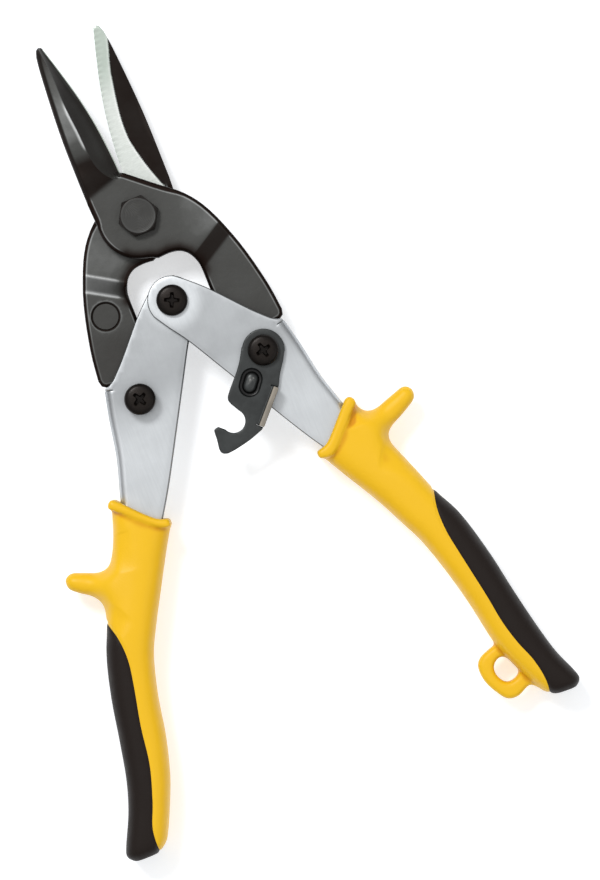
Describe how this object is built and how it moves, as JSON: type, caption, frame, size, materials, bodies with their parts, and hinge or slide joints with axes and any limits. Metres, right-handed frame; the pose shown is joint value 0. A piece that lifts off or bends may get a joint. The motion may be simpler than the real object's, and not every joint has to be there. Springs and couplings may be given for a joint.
{
  "type": "aviation snips",
  "caption": "Compound-action sheet-metal snips with forged jaws on a bolt, channel arms, a pivoting hook latch and moulded two-part grips.",
  "frame": {"origin": "on the jaw bolt's axis, in the plane that the nut and the grips rest on when the snips lie on their back", "axes": "+Y towards the blade tips along the centre line between the handles, +X to the right seen from the front, +Z along the jaw bolt towards its head"},
  "size_m": [0.146, 0.2376, 0.0224],
  "materials": {
    "forged_steel": "blackened forging, ground cutting faces, semi-matte",
    "black_hardware": "black oxide, satin",
    "jaw_hardware": "blackened, semi-matte",
    "plated_sheet": "satin zinc plate with fine grain",
    "latch_steel": "blued, satin, worn bright at edges",
    "spring_steel": "drawn wire",
    "washer_steel": "turned, bright",
    "grip_yellow": "satin moulded",
    "grip_dark": "matte soft moulding"
  },
  "bodies": {
    "rear_jaw": {"rear_jaw": "forged_steel", "jaw_bolt": "jaw_hardware", "jaw_washer": "jaw_hardware", "jaw_nut": "jaw_hardware"},
    "front_jaw": {"front_jaw": "forged_steel"},
    "left_handle": {"left_arm": "plated_sheet", "left_arm_screw": "black_hardware", "left_arm_barrel_nut": "black_hardware", "left_grip": "grip_yellow", "left_grip_insert": "grip_dark"},
    "right_handle": {"right_arm": "plated_sheet", "right_arm_screw": "black_hardware", "right_arm_barrel_nut": "black_hardware", "tail_washers": "washer_steel", "handle_screw": "black_hardware", "handle_barrel_nut": "black_hardware", "opening_spring": "spring_steel", "latch_washer": "latch_steel", "right_grip": "grip_yellow", "right_grip_insert": "grip_dark"},
    "latch": {"latch": "latch_steel"}
  },
  "joints": [
    {"name": "jaw_pivot", "type": "hinge", "parent": "rear_jaw", "child": "front_jaw", "pos_m": [0, 0, 0.0095], "axis": [0, 0, -1], "range_deg": [0, 18], "stiffness_Nm_per_rad": 0.4, "springref_deg": -17.19, "deforming": ["opening_spring"]},
    {"name": "left_handle_pivot", "type": "hinge", "parent": "rear_jaw", "child": "left_handle", "pos_m": [-0.01982, -0.05109, 0.0095], "axis": [0, 0, 1], "range_deg": [0, 9]},
    {"name": "right_handle_pivot", "type": "hinge", "parent": "front_jaw", "child": "right_handle", "pos_m": [0.01982, -0.05109, 0.0095], "axis": [0, 0, -1], "range_deg": [0, 9]},
    {"name": "latch_swing", "type": "hinge", "parent": "right_handle", "child": "latch", "pos_m": [0.01982, -0.05109, 0.0095], "axis": [0, 0, -1], "range_deg": [-25, 27.6]}
  ],
  "couplings": [
    {"joint": "left_handle_pivot", "follows": "jaw_pivot", "ratio": 0.495},
    {"joint": "right_handle_pivot", "follows": "jaw_pivot", "ratio": 0.495}
  ]
}
